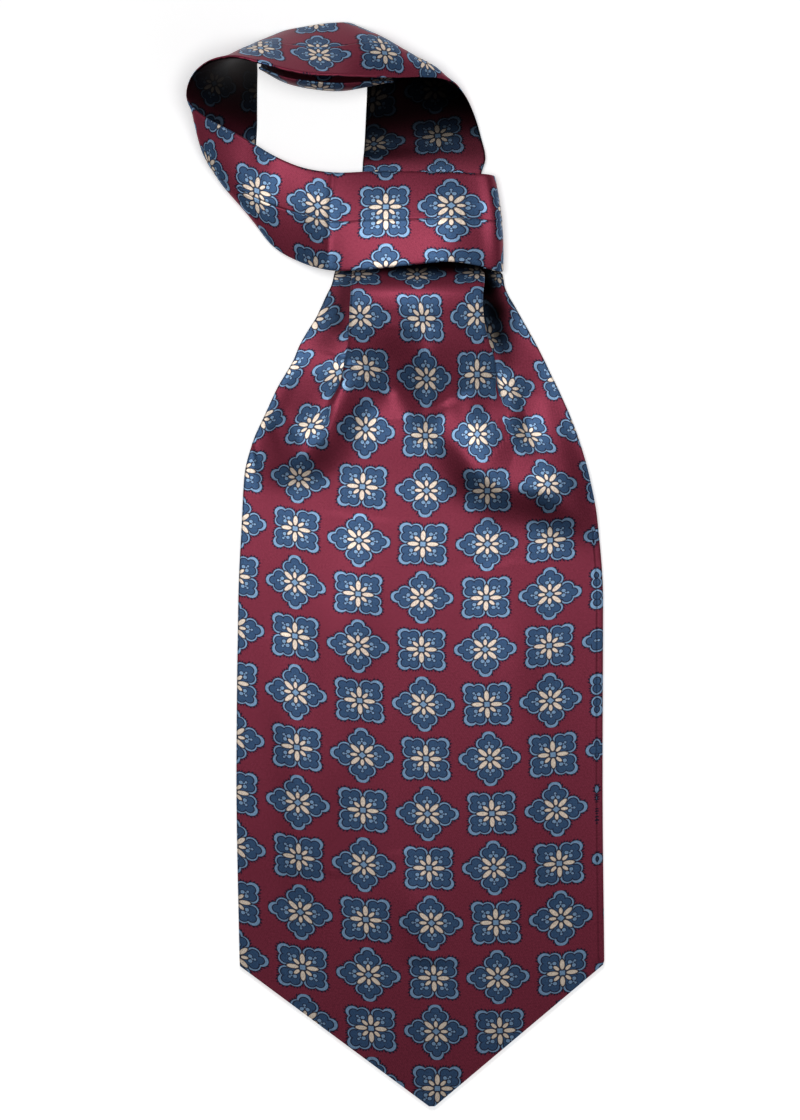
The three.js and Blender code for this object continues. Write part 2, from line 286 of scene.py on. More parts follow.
# the printed medallion: a lobed cross of four trefoils round an eight-petalled flower. Lengths are
# shares of its half width; each shape stands in the first eighth of the medallion and is mirrored
foulard = {
    "pitch": (27.05 * mm, 22.83 * mm),
    "halfWidth": 13.2 * mm,
    "squash": 0.87,
    "border": [(0.785, 0.0, 0.222), (0.54, 0.205, 0.225), (0.0, 0.0, 0.46)],
    "trefoil": [(0.73, 0.0, 0.14), (0.55, 0.19, 0.155), (0.40, 0.04, 0.20)],
    "club": [(0.435, 0.088, 0.07), (0.58, 0.0, 0.046), (0.50, 0.0, 0.034)],
    "longPetal": (0.308, 0.19, 0.08),
    "shortPetal": (0.262, 0.122, 0.063),
    "centre": 0.128,
    "line": 0.026,
    "hairs": 0.07,
    "hairCount": 60,
    "hairDepth": 0.95,
    "softness": 0.009,
}
printColours = {
    "Ground": (0.205, 0.0290, 0.0550),
    "Border": (0.212, 0.350, 0.540),
    "Trefoil": (0.044, 0.094, 0.192),
    "Line": (0.016, 0.013, 0.032),
    "Petal": (0.810, 0.685, 0.570),
}


def makeFoulardGroup():
    inputs = [("Cloth", "NodeSocketVector", None)]
    inputs += [(name, "NodeSocketColor", asColour(value)) for name, value in printColours.items()]
    tree, given, result = newGroup("foulardPrint", inputs, [("Color", "NodeSocketColor")])
    split = tree.nodes.new("ShaderNodeSeparateXYZ")
    tree.links.new(given["Cloth"], split.inputs[0])
    pitchX, pitchY = foulard["pitch"]
    columnPlace = calc(tree, "DIVIDE", split.outputs["X"], pitchX)
    rowPlace = calc(tree, "DIVIDE", split.outputs["Y"], pitchY)
    column = calc(tree, "FLOOR", calc(tree, "ADD", columnPlace, 0.5))
    row = calc(tree, "FLOOR", calc(tree, "ADD", rowPlace, 0.5))
    turned = calc(tree, "FLOORED_MODULO", calc(tree, "ADD", column, row), 2.0)

    # the place in the medallion, turned by an eighth in every other one
    half = foulard["halfWidth"]
    x = calc(tree, "MULTIPLY", calc(tree, "SUBTRACT", columnPlace, column), pitchX / half)
    squashed = pitchY / (half * foulard["squash"])
    y = calc(tree, "MULTIPLY", calc(tree, "SUBTRACT", rowPlace, row), squashed)
    diagonal = math.sqrt(0.5)
    turnedX = calc(tree, "MULTIPLY", calc(tree, "ADD", x, y), diagonal)
    turnedY = calc(tree, "MULTIPLY", calc(tree, "SUBTRACT", y, x), diagonal)
    x = calc(tree, "ADD", x, calc(tree, "MULTIPLY", turned, calc(tree, "SUBTRACT", turnedX, x)))
    y = calc(tree, "ADD", y, calc(tree, "MULTIPLY", turned, calc(tree, "SUBTRACT", turnedY, y)))

    # folded to the first eighth
    sideX = calc(tree, "ABSOLUTE", x)
    sideY = calc(tree, "ABSOLUTE", y)
    far = calc(tree, "MAXIMUM", sideX, sideY)
    near = calc(tree, "MINIMUM", sideX, sideY)
    onAxis = asVector(tree, far, near)
    alongDiagonal = calc(tree, "MULTIPLY", calc(tree, "ADD", far, near), diagonal)
    acrossDiagonal = calc(tree, "MULTIPLY", calc(tree, "SUBTRACT", far, near), diagonal)
    onDiagonal = asVector(tree, alongDiagonal, acrossDiagonal)

    border = discs(tree, onAxis, foulard["border"])
    trefoil = discs(tree, onAxis, foulard["trefoil"])
    club = discs(tree, onAxis, foulard["club"])
    longPetal = petal(tree, onDiagonal, *foulard["longPetal"])
    shortPetal = petal(tree, onAxis, *foulard["shortPetal"])
    centre = calc(tree, "SUBTRACT", calc(tree, "ADD", sideX, sideY), foulard["centre"])
    centre = calc(tree, "MULTIPLY", centre, diagonal)
    petals = calc(tree, "MINIMUM", longPetal, shortPetal)

    soft = foulard["softness"]
    line = foulard["line"]

    def inside(distance, grow=0.0):
        ranged = tree.nodes.new("ShaderNodeMapRange")
        fillInputs(tree, ranged.inputs, (distance, grow - soft, grow + soft, 1.0, 0.0))
        return ranged.outputs["Result"]

    # fine hairs all round, then each shape over its own dark line
    angle = calc(tree, "MULTIPLY", calc(tree, "ARCTAN2", y, x), foulard["hairCount"])
    hair = calc(tree, "GREATER_THAN", calc(tree, "SINE", angle), 0.0)
    hair = calc(tree, "MULTIPLY", hair, foulard["hairDepth"])
    hairs = calc(tree, "MULTIPLY", inside(border, foulard["hairs"]), hair)
    colour = mixColour(tree, hairs, given["Ground"], given["Line"])
    layers = [
        # distance to the shape, width of its dark line, colour
        (border, line * 0.9, "Border"),
        (trefoil, line, "Trefoil"),
        (club, line * 0.7, "Border"),
        (petals, line * 0.75, "Petal"),
        (centre, line * 0.8, "Border"),
    ]
    for distance, rim, fill in layers:
        colour = mixColour(tree, inside(distance, rim), colour, given["Line"])
        colour = mixColour(tree, inside(distance, -rim * 0.3), colour, given[fill])
    tree.links.new(colour, result["Color"])
    return tree


silk = {
    "roughness": 0.44,
    "metallic": 0.5,
    "specular": 0.08,
    "sheen": 0.015,
    "sheenTint": (0.75, 0.35, 0.45),
    "twill": 0.22,
    "twillDepth": 0.05 * mm,
    "ribPitch": 0.8 * mm,
    "seamHalfWidth": 0.4 * mm,
    "seamDepth": 0.12 * mm,
    "paintedShadePower": 2.0,
}
# scales are for noise over metres of cloth; shades are shares of the colour
weave = {"ribSlope": 0.62, "ribHeight": 0.5, "ribShade": 0.09}
yarnNoise = {"scale": 1400.0, "detail": 1.0, "shade": 0.85}
cloudNoise = {"scale": 45.0, "detail": 2.0, "shade": 0.16}
gatherNoise = {"scale": 260.0, "detail": 1.0, "height": 0.9, "reach": 5.0}
# painted shade in the groove of a sewn line: the share of colour lost, and its reach in half widths
paintedSeamShade = {"depth": 0.32, "reach": 0.7}


def clothNoise(tree, cloth, noise):
    node = tree.nodes.new("ShaderNodeTexNoise")
    node.inputs["Scale"].default_value = noise["scale"]
    node.inputs["Detail"].default_value = noise["detail"]
    tree.links.new(cloth, node.inputs["Vector"])
    return node.outputs["Fac"]


# a fine diagonal rib and the slight unevenness of the yarn
def makeTwillGroup():
    inputs = [
        ("Cloth", "NodeSocketVector", None),
        ("Rib Pitch", "NodeSocketFloat", silk["ribPitch"]),
    ]
    tree, given, result = newGroup(
        "silkTwill", inputs, [("Height", "NodeSocketFloat"), ("Uneven", "NodeSocketFloat")]
    )
    split = tree.nodes.new("ShaderNodeSeparateXYZ")
    tree.links.new(given["Cloth"], split.inputs[0])
    steep = calc(tree, "MULTIPLY", split.outputs["Y"], -weave["ribSlope"])
    along = calc(tree, "DIVIDE", calc(tree, "ADD", split.outputs["X"], steep), given["Rib Pitch"])
    rib = calc(tree, "SINE", calc(tree, "MULTIPLY", along, 2 * math.pi))
    yarn = clothNoise(tree, given["Cloth"], yarnNoise)
    cloud = clothNoise(tree, given["Cloth"], cloudNoise)
    height = calc(tree, "ADD", calc(tree, "MULTIPLY", rib, weave["ribHeight"]), yarn)
    tree.links.new(height, result["Height"])
    fine = calc(tree, "MULTIPLY", calc(tree, "SUBTRACT", yarn, 0.5), yarnNoise["shade"])
    broad = calc(tree, "MULTIPLY", calc(tree, "SUBTRACT", cloud, 0.5), cloudNoise["shade"])
    ribbed = calc(tree, "MULTIPLY_ADD", rib, weave["ribShade"], 1.0)
    tree.links.new(calc(tree, "ADD", calc(tree, "ADD", fine, broad), ribbed), result["Uneven"])
    return tree


# a sewn line: a fine groove with shade painted into its depth, and the cloth slightly drawn up beside it
def makeSeamGroup():
    inputs = [
        ("Cloth", "NodeSocketVector", None),
        ("From Seam", "NodeSocketFloat", 0.05),
        ("Half Width", "NodeSocketFloat", silk["seamHalfWidth"]),
    ]
    tree, given, result = newGroup(
        "sewnLine", inputs, [("Height", "NodeSocketFloat"), ("Light", "NodeSocketFloat")]
    )

    def nearSeam(reach):
        widths = calc(tree, "MULTIPLY", given["Half Width"], reach)
        share = calc(tree, "DIVIDE", given["From Seam"], widths)
        return calc(tree, "EXPONENT", calc(tree, "MULTIPLY", calc(tree, "MULTIPLY", share, share), -1.0))

    gather = clothNoise(tree, given["Cloth"], gatherNoise)
    drawn = calc(tree, "MULTIPLY", nearSeam(gatherNoise["reach"]), gather)
    drawn = calc(tree, "MULTIPLY", drawn, gatherNoise["height"])
    tree.links.new(calc(tree, "SUBTRACT", drawn, nearSeam(1.0)), result["Height"])
    # painted shade: the colour is darkened in the groove
    shade = calc(tree, "MULTIPLY_ADD", nearSeam(paintedSeamShade["reach"]), -paintedSeamShade["depth"], 1.0)
    tree.links.new(shade, result["Light"])
    return tree


def placedGroup(tree, group, cloth):
    node = tree.nodes.new("ShaderNodeGroup")
    node.node_tree = group
    tree.links.new(cloth, node.inputs["Cloth"])
    return node


def vertexValue(tree, name):
    node = tree.nodes.new("ShaderNodeAttribute")
    node.attribute_name = name
    return node.outputs["Fac"]


def makePrintedSilk(name, foulardGroup, twillGroup, seamGroup):
    material = bpy.data.materials.new(name)
    material.use_nodes = True
    tree = material.node_tree
    shader = tree.nodes["Principled BSDF"]
    cloth = tree.nodes.new("ShaderNodeUVMap")
    cloth.uv_map = "cloth"
    printed = placedGroup(tree, foulardGroup, cloth.outputs["UV"])
    for colourName, value in printColours.items():
        printed.inputs[colourName].default_value = asColour(value)
    twill = placedGroup(tree, twillGroup, cloth.outputs["UV"])
    twill.inputs["Rib Pitch"].default_value = silk["ribPitch"]
    seam = placedGroup(tree, seamGroup, cloth.outputs["UV"])
    seam.inputs["Half Width"].default_value = silk["seamHalfWidth"]
    tree.links.new(vertexValue(tree, "fromSeam"), seam.inputs["From Seam"])
    # painted shade: the base colour is multiplied by the folds' painted shade, raised to a power, by the
    # sewn lines' painted shade, and by the yarn's own uneven tone
    paintedFoldLight = vertexValue(tree, "paintedFoldLight")
    paintedFoldShare = calc(tree, "POWER", paintedFoldLight, silk["paintedShadePower"])
    light = calc(tree, "MULTIPLY", twill.outputs["Uneven"], paintedFoldShare)
    light = calc(tree, "MULTIPLY", light, seam.outputs["Light"])
    tinted = vectorCalc(tree, "SCALE", printed.outputs["Color"])
    tree.links.new(light, tinted.node.inputs["Scale"])
    tree.links.new(tinted, shader.inputs["Base Color"])
    groove = tree.nodes.new("ShaderNodeBump")
    groove.inputs["Distance"].default_value = silk["seamDepth"]
    tree.links.new(seam.outputs["Height"], groove.inputs["Height"])
    bump = tree.nodes.new("ShaderNodeBump")
    bump.inputs["Strength"].default_value = silk["twill"]
    bump.inputs["Distance"].default_value = silk["twillDepth"]
    tree.links.new(twill.outputs["Height"], bump.inputs["Height"])
    tree.links.new(groove.outputs["Normal"], bump.inputs["Normal"])
    tree.links.new(bump.outputs["Normal"], shader.inputs["Normal"])
    shader.inputs["Roughness"].default_value = silk["roughness"]
    # down in the folds, where shade is painted into the colour, the gloss turns metallic, so only that
    # painted-dark colour is left of it
    gloss = calc(tree, "MULTIPLY_ADD", paintedFoldLight, silk["metallic"] - 1.0, 1.0)
    tree.links.new(gloss, shader.inputs["Metallic"])
    shader.inputs["Specular IOR Level"].default_value = silk["specular"]
    shader.inputs["Sheen Weight"].default_value = silk["sheen"]
    shader.inputs["Sheen Tint"].default_value = asColour(silk["sheenTint"])
    return material


foulardGroup = makeFoulardGroup()
twillGroup = makeTwillGroup()
seamGroup = makeSeamGroup()
printedSilk = makePrintedSilk("printedSilk", foulardGroup, twillGroup, seamGroup)
show("materials made")


# neckband

neckband = {
    "wall": 1.5 * mm,
    "edgeRadius": 0.75 * mm,
    "width": 41.0 * mm,
    "rowsPerSection": 9,
    "endRows": (0.004, 0.012),
    "plainColumns": 40,
    "seamColumns": (0.003, 0.008, 0.015, 0.026),
    "seamClear": 0.03,
    "seamStep": 0.12 * mm,
    "seamStepWidth": 0.5 * mm,
    "seamStepReach": 6.0 * mm,
    "seamJump": 4.0 * mm,
}
# the crease pressed into the band where it turns towards the loop, and where the shade painted on the band
# beyond it ends
pressedFold = {
    "section": 9.05,
    "rows": (0.04, 0.07, 0.12),
    "halfWidth": 1.3 * mm,
    "height": 0.3 * mm,
    "paintedShade": 0.03,
    "paintedShadeUntil": 11.5,
    "paintedShadeFade": 2.0,
}
# rim, middle and foot of each section across the band, in order along it, in millimetres
bandSections = [
    (18.7, 163.0, 0.5, 18.7, 143.6, 0.5, 18.7, 123.9, 0.5),
    (34.2, 163.0, 0.5, 37.2, 143.6, 0.5, 38.0, 123.5, 0.5),
    (39.4, 163.0, 2.3, 42.6, 143.6, 2.3, 43.0, 123.5, 2.3),
    (40.8, 163.0, 6.3, 44.0, 143.6, 6.7, 44.4, 122.5, 6.3),
    (38.6, 163.4, 8.6, 42.0, 143.6, 10.4, 42.4, 122.9, 8.6),
    (33.8, 163.8, 8.6, 35.5, 144.5, 11.0, 36.6, 124.6, 10.4),
    (22.9, 164.2, 8.8, 22.9, 144.9, 12.9, 22.9, 126.6, 13.4),
    (6.1, 164.6, 8.8, 6.1, 144.5, 12.9, 6.1, 125.2, 13.6),
    (-10.7, 164.6, 8.6, -10.7, 144.1, 12.7, -10.7, 123.5, 13.2),
    (-25.4, 164.2, 8.8, -26.7, 143.6, 11.4, -27.5, 123.1, 10.8),
    (-38.9, 166.3, 8.4, -40.9, 147.4, 8.2, -40.1, 126.8, 5.2),
    (-50.2, 170.9, 8.6, -53.5, 151.6, 6.6, -50.2, 132.7, 2.3),
    (-60.3, 176.8, 11.8, -65.0, 157.1, 7.6, -56.9, 142.0, 0.9),
    (-69.5, 181.9, 14.3, -74.2, 163.2, 7.1, -60.3, 152.9, 0.8),
    (-77.9, 186.1, 17.6, -78.6, 169.9, 8.0, -59.8, 164.6, 0.8),
    (-83.9, 190.3, 21.0, -78.6, 178.5, 9.7, -58.6, 175.1, 0.8),
    (-87.1, 194.5, 23.5, -74.1, 188.2, 11.8, -58.2, 183.5, 0.8),
    (-86.8, 199.9, 26.0, -72.9, 194.5, 13.0, -58.2, 192.4, 0.8),
    (-83.6, 205.6, 29.4, -71.6, 201.2, 14.7, -58.2, 199.9, 0.8),
    (-77.0, 210.0, 33.6, -69.5, 207.7, 17.6, -58.2, 206.2, 0.8),
    (-67.0, 211.3, 37.0, -65.8, 213.8, 19.3, -58.2, 212.1, 0.8),
    (-57.8, 209.2, 37.4, -59.4, 216.6, 20.2, -56.1, 217.8, 0.8),
    (-46.8, 206.2, 35.7, -49.4, 217.2, 18.9, -48.1, 222.8, 0.8),
    (-35.1, 204.1, 33.6, -37.2, 215.9, 18.1, -37.6, 225.3, 0.8),
    (-23.3, 203.7, 31.9, -25.4, 215.9, 17.2, -26.7, 226.9, 0.8),
    (-11.5, 203.3, 29.0, -12.4, 217.6, 17.6, -18.7, 226.5, 0.8),
    (0.2, 203.3, 24.4, -1.3, 216.7, 15.1, -14.5, 223.2, 0.8),
    (10.3, 203.7, 19.7, 6.1, 213.4, 11.8, -12.8, 216.3, 0.8),
    (19.1, 203.3, 14.7, 11.2, 209.3, 8.8, -12.0, 207.1, 0.8),
    (25.4, 200.8, 9.7, 10.3, 202.9, 5.5, -12.0, 197.8, 0.8),
    (30.0, 195.3, 5.5, 10.3, 193.2, 2.9, -12.4, 189.0, 0.8),
    (33.4, 187.7, 3.4, 10.7, 184.4, 1.9, -12.8, 180.6, 0.8),
    (35.9, 179.3, 2.3, 11.5, 176.8, 1.6, -13.2, 173.9, 1.1),
    (37.8, 170.2, 2.7, 12.4, 169.8, 2.6, -13.7, 168.9, 2.5),
    (35.8, 162.5, 3.2, 12.4, 162.5, 3.2, -14.1, 162.5, 3.2),
    (36.2, 144.5, 4.2, 12.4, 144.5, 4.6, -16.6, 144.5, 4.2),
]
# which place of the printed cloth each section shows, counted in medallions. The seam side is cut
# across the cloth; the plain side is cut along it
seamSidePrint = [
    # section, medallions along the band, medallion nearest the seam
    (0.0, 2.60, -0.237),
    (3.0, 1.00, -0.237),
    (5.97, 0.00, -0.237),
    (7.6, -1.00, -0.237),
    (9.42, -2.00, -0.237),
    (11.4, -3.00, -0.14),
    (13.5, -4.00, -0.08),
    (15.4, -5.00, -0.15),
    (21.3, -7.00, -0.27),
    (23.4, -8.00, -0.27),
    (25.55, -9.00, -0.27),
    (27.3, -10.00, -0.25),
    (35.0, -13.50, -0.25),
]
plainSidePrint = [
    # section, medallions along the band, medallion nearest the middle
    (0.0, 12.0, -0.25),
    (16.0, 6.6, -0.25),
    (20.0, 5.3, -0.25),
    (29.4, 2.0, -0.25),
    (31.7, 1.0, -0.25),
    (34.2, 0.0, -0.25),
    (35.0, -0.4, -0.25),
]
# painted shade on the plain side, down inside the loop: section, and the share of its colour left
paintedInsideLight = [
    (0.0, 1.0),
    (14.0, 1.0),
    (16.5, 0.3),
    (19.0, 0.1),
    (27.0, 0.06),
    (30.2, 0.06),
    (31.2, 0.14),
    (32.4, 0.36),
    (33.4, 0.62),
    (34.2, 0.9),
    (35.0, 1.0),
]


# points over a strip, each row a parabola through the rim, the middle and the foot of its section
def stripGrid(sections, places, shares):
    table = np.asarray(sections) * mm
    rim, middle, foot = (alongCurve(table[:, k : k + 3], places)[:, None, :] for k in (0, 3, 6))
    w = np.asarray(shares)[None, :, None]
    return rim * (1 - w) * (1 - 2 * w) + middle * 4 * w * (1 - w) + foot * w * (2 * w - 1)


# shares of the way across a strip, closer together where the folded edges round off
def acrossShares(strip):
    radiusShare = strip["edgeRadius"] / strip["width"]
    near = [share * radiusShare for share in (0.0, 0.08, 0.3, 0.62, 1.0)]
    inner = np.linspace(radiusShare, 1 - radiusShare, strip["plainColumns"] + 1)[1:-1]
    return np.array([*near, *inner, *[1 - share for share in reversed(near)]])


# places along a strip, counted in sections, with a few more close to its ends
def placesAlong(strip, sections):
    last = len(sections) - 1
    places = np.linspace(0, last, last * strip["rowsPerSection"] + 1)
    endRows = np.array(strip["endRows"])
    return np.concatenate([[0.0], endRows, places[1:-1], last - endRows[::-1], [last]])


def clothPlaces(along, across):
    pitchX, pitchY = foulard["pitch"]
    return np.stack([along * pitchX, across * pitchY], axis=-1)


def makeNeckband():
    rows = np.array(pressedFold["rows"])
    pressed = pressedFold["section"] + np.concatenate([-rows, [0.0], rows])
    places = np.unique(np.concatenate([placesAlong(neckband, bandSections), pressed]))
    columns = np.array(neckband["seamColumns"])
    shares = acrossShares(neckband)
    plain = shares[np.abs(shares - 0.5) > neckband["seamClear"]]
    shares = np.unique(np.concatenate([plain, 0.5 - columns, 0.5 + columns]))
    grid = stripGrid(bandSections, places, shares)
    tube = measureTube(grid, neckband)
    across, along = tube["across"], tube["along"]
    fromSeam = across - across[:, [np.searchsorted(shares, 0.5)]]
    fromFold = along - along[[np.searchsorted(places, pressedFold["section"])], :]

    pitchX, pitchY = foulard["pitch"]
    level = 0 * across
    medallions = fromTable(seamSidePrint, 1, places)[:, None] + level
    offset = fromTable(seamSidePrint, 2, places)[:, None]
    jump = np.where(shares > 0.5, neckband["seamJump"], 0.0)[None, :]
    seamSide = clothPlaces(medallions, offset - (fromSeam - jump) / pitchY)
    medallions = fromTable(plainSidePrint, 1, places)[:, None] + level
    offset = fromTable(plainSidePrint, 2, places)[:, None]
    plainSide = clothPlaces(offset - fromSeam / pitchX, medallions)
    # painted shade inside the loop, on the plain side
    inside = fromTable(paintedInsideLight, 1, places)[:, None] + level

    # one edge of the cloth lies over the other at the seam, and the pressed crease stands out
    overlap = neckband["seamStep"] * (1 - smoothRise(fromSeam / neckband["seamStepWidth"] + 0.5))
    overlap = overlap * bell(fromSeam, neckband["seamStepReach"])
    ridge = pressedFold["height"] * bell(fromFold, pressedFold["halfWidth"])
    relief = (overlap + ridge) * foldedEdge(tube["toEdge"], 3 * neckband["edgeRadius"])
    # painted shade: the band beyond the pressed crease is a little darker
    beyondFold = smoothRise((places - pressedFold["section"]) / 0.05)
    beyondFold = beyondFold * smoothRise((pressedFold["paintedShadeUntil"] - places) / pressedFold["paintedShadeFade"])
    paintedCreaseShade = 1 - pressedFold["paintedShade"] * beyondFold[:, None]
    outside = clothSide(seamSide, paintedCreaseShade, fromSeam, relief)
    return clothTube("neckband", grid, tube["swell"], outside, clothSide(plainSide, light=inside))


band = makeNeckband()
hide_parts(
    "neckband_front", "neckband_crescent", "neckband_left", "neckband_top", "neckband_right"
)
show("neckband made")

innerPly = {
    "wall": 1.0 * mm,
    "edgeRadius": 0.5 * mm,
    "width": 38.0 * mm,
    "rowsPerSection": 14,
    "endRows": (0.006, 0.02),
    "plainColumns": 24,
    "firstMedallion": 0.2,
    # light: the share of its colour left under painted shade
    "light": 0.75,
}
innerPlySections = [
    (-57.0, 207.2, 35.2, -56.2, 208.8, 20.0, -54.6, 216.0, 1.2),
    (-46.8, 203.4, 33.2, -46.6, 204.0, 19.0, -47.4, 220.6, 1.2),
    (-35.1, 201.6, 31.2, -35.1, 201.6, 17.5, -37.2, 223.1, 1.2),
    (-23.3, 200.9, 29.2, -23.3, 201.2, 16.5, -26.6, 224.7, 1.2),
    (-11.9, 201.6, 26.2, -12.4, 203.4, 15.0, -19.0, 224.0, 1.2),
    (-1.0, 201.7, 21.6, -3.4, 206.8, 12.6, -15.0, 220.4, 1.2),
]


def makeInnerPly():
    places = placesAlong(innerPly, innerPlySections)
    grid = stripGrid(innerPlySections, places, acrossShares(innerPly))
    tube = measureTube(grid, innerPly)
    pitchX, pitchY = foulard["pitch"]
    printed = clothPlaces(tube["along"] / pitchX, innerPly["firstMedallion"] - tube["across"] / pitchY)
    # the inner ply's colour is darkened by painted shade
    side = clothSide(printed, light=innerPly["light"])
    return clothTube("neckbandInnerPly", grid, tube["swell"], side, side)


ply = makeInnerPly()
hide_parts("neckband_top_inner_ply")
show("inner ply made")


# blades

frontBlade = {
    "wall": 1.2 * mm,
    "edgeRadius": 0.6 * mm,
    "top": 144.0,
    "straightTo": -166.3,
    "endRows": (0.1, 0.4),
    "rows": 250,
    "tipRows": 60,
    "tipEndShares": (0.992, 0.997),
    "columns": {"edge": 5, "hem": 4, "side": 15, "pleat": 26, "panel": 38},
    "edgeWidth": 1.2,
    "edgeCrowding": 1.7,
    "hemWidth": 4.0,
    "pleatTurn": 10.0,
    "crown": 0.22,
    "restHeight": 2.15,
    "hiddenShare": 0.2,
}
# what the blade measures at each y: its outline, where its pleats lie, how much cloth their tucks take
# up, and how high the sides and the panel between the pleats stand, in millimetres
bladeColumns = "y left right pleatLeft pleatRight tuckLeft tuckRight sideLeft panel sideRight".split()
bladeRows = [
    (144.0, -19.1, 36.6, -14.2, 30.6, 12.6, 12.6, 0.6, 4.2, 0.6),
    (132.5, -22.5, 36.8, -15.0, 31.4, 12.8, 12.8, 0.6, 4.2, 0.5),
    (126.6, -24.4, 37.0, -15.2, 32.0, 12.6, 12.6, 0.5, 4.6, 0.4),
    (123.4, -25.2, 37.2, -15.4, 33.0, 12.6, 12.6, 0.5, 6.0, 0.4),
    (122.9, -25.4, 43.8, -15.5, 33.6, 12.6, 12.6, 0.5, 6.5, 0.4),
    (121.6, -25.8, 45.0, -15.6, 34.8, 12.6, 12.6, 0.5, 7.8, 0.4),
    (119.6, -26.2, 45.4, -15.9, 34.8, 12.4, 12.6, 0.6, 9.6, 0.3),
    (116.8, -27.0, 45.8, -16.2, 34.6, 12.2, 12.6, 0.6, 11.2, 0.3),
    (112.8, -29.0, 47.4, -16.5, 34.1, 12.0, 12.6, 0.6, 11.9, 0.3),
    (108.4, -31.0, 50.0, -16.9, 34.1, 11.8, 12.5, 0.5, 11.6, 0.6),
    (103.4, -33.4, 52.8, -17.3, 34.6, 11.2, 12.3, 0.5, 10.8, 1.0),
    (97.8, -36.9, 56.0, -17.8, 35.7, 10.6, 11.7, 0.5, 9.8, 1.5),
    (91.6, -40.4, 59.4, -18.6, 38.0, 9.6, 10.6, 0.5, 8.4, 1.9),
    (85.7, -42.8, 62.4, -20.2, 40.4, 8.6, 9.0, 0.5, 6.6, 2.0),
    (79.8, -46.2, 65.2, -21.6, 41.6, 7.6, 7.2, 0.5, 4.6, 1.9),
    (74.4, -49.4, 67.9, -23.3, 42.3, 6.2, 5.0, 0.5, 3.0, 1.7),
    (68.9, -52.0, 70.4, -26.0, 43.4, 4.6, 3.0, 0.5, 1.9, 1.3),
    (63.0, -54.7, 73.0, -27.9, 44.0, 2.8, 1.5, 0.4, 1.2, 1.0),
    (52.1, -59.6, 77.1, -28.8, 44.6, 0.8, 0.0, 0.3, 0.9, 0.6),
    (37.4, -63.4, 81.3, -29.4, 45.0, 0.0, 0.0, 0.1, 0.3, 0.2),
    (18.5, -64.5, 84.8, -29.6, 45.0, 0.0, 0.0, 0.0, 0.0, 0.0),
    (-15.1, -66.0, 87.2, -29.6, 45.0, 0.0, 0.0, 0.0, 0.0, 0.0),
    (-90.0, -66.8, 87.0, -29.6, 45.0, 0.0, 0.0, 0.0, 0.0, 0.0),
    (-166.3, -65.5, 87.7, -29.6, 45.0, 0.0, 0.0, 0.0, 0.0, 0.0),
]
tip = {"x": 15.3, "y": -227.7, "width": 2.4}
shoulder = {"left": (-65.3, -168.8), "right": (87.2, -168.2)}
# soft creases of the front blade: half widths to the left and the right of the line as it is walked,
# height, and the places that the line goes through, in millimetres
creases = [
    (7.5, 7.5, -3.4, [(-2.0, 98.0), (-1.0, 62.0)]),
    (6.0, 6.0, 2.4, [(15.0, 99.0), (13.0, 76.0), (12.0, 52.0)]),
    (6.0, 6.0, 1.5, [(31.0, 88.0), (29.6, 54.0)]),
    (
        *(7.5, 19.0, 5.6),
        [(-17.0, 84.0), (-24.5, 65.0), (-30.0, 53.5), (-38.0, 46.5), (-48.0, 43.0), (-58.0, 41.0)],
    ),
    (
        *(20.0, 9.0, 5.4),
        [(20.0, 67.0), (27.0, 51.0), (34.0, 40.0), (45.0, 32.5), (62.0, 31.0), (78.0, 23.0), (92.0, 13.0)],
    ),
    (5.0, 4.0, -1.6, [(55.0, 78.0), (56.0, 46.0)]),
    (13.0, 13.0, 1.4, [(-16.0, 20.0), (-24.0, -40.0), (-30.0, -130.0)]),
    (12.0, 12.0, 1.4, [(42.0, 0.0), (50.0, -60.0), (62.0, -150.0)]),
    (8.0, 8.0, 1.2, [(4.0, -120.0), (14.0, -160.0), (26.0, -205.0)]),
    (8.0, 8.0, 1.0, [(-48.0, -30.0), (-42.0, -90.0), (-36.0, -160.0)]),
]
# a crease dies away over a share of its length at both ends, changes its width over a few millimetres
# about its line, and is held down near the hems
creaseEase = {"ends": 0.35, "least": 0.12, "widthChange": 3.0, "atHem": 0.5, "hemReach": 9.0}
# where the columns of medallions lie down the blade: y, then x of each column, in millimetres. The
# column -2 lies on the left side, -1, 0 and 1 on the panel, and 2 and 3 on the right side
printColumnNumbers = (-2, -1, 0, 1, 2, 3)
printColumns = [
    (148.0, -0.5, -15.6, 9.0, 34.0, 26.0, 44.0),
    (121.0, -0.5, -15.6, 9.0, 34.0, 30.0, 43.0),
    (103.0, -8.5, -14.6, 11.3, 34.1, 36.0, 56.8),
    (90.0, -18.3, -13.2, 12.2, 34.0, 41.0, 63.2),
    (79.0, -24.6, -12.1, 13.1, 34.0, 45.0, 68.6),
    (66.0, -30.5, -12.3, 12.9, 34.0, 50.5, 75.0),
    (54.0, -37.0, -12.7, 12.7, 34.3, 55.6, 80.4),
    (32.0, -41.0, -13.9, 13.1, 38.7, 64.0, 89.0),
    (9.0, -42.3, -15.4, 11.5, 38.6, 64.9, 92.6),
    (-36.0, -42.2, -15.8, 10.9, 37.7, 64.5, 91.6),
    (-81.0, -41.3, -14.0, 12.8, 39.6, 66.1, 93.2),
    (-127.0, -40.5, -13.3, 14.0, 41.3, 68.8, 95.9),
    (-173.0, -38.8, -11.3, 16.1, 42.9, 70.1, 97.2),
    (-220.0, -36.6, -9.5, 17.6, 44.4, 71.5, 98.6),
    (-245.0, -36.6, -9.5, 17.6, 44.4, 71.5, 98.6),
]
# y of each row of medallions down the panel; the cloth turns under steeply at the top
printRows = [
    (148.0, -1.5),
    (121.0, 0.0),
    (115.0, 0.5),
    (102.8, 1.0),
    (77.6, 2.0),
    (53.7, 3.0),
    (30.7, 4.0),
    (8.2, 5.0),
    (-14.4, 6.0),
    (-36.0, 7.0),
    (-59.1, 8.0),
    (-81.9, 9.0),
    (-105.0, 10.0),
    (-127.8, 11.0),
    (-150.8, 12.0),
    (-173.9, 13.0),
    (-196.3, 14.0),
    (-220.2, 15.0),
    (-243.0, 16.0),
]
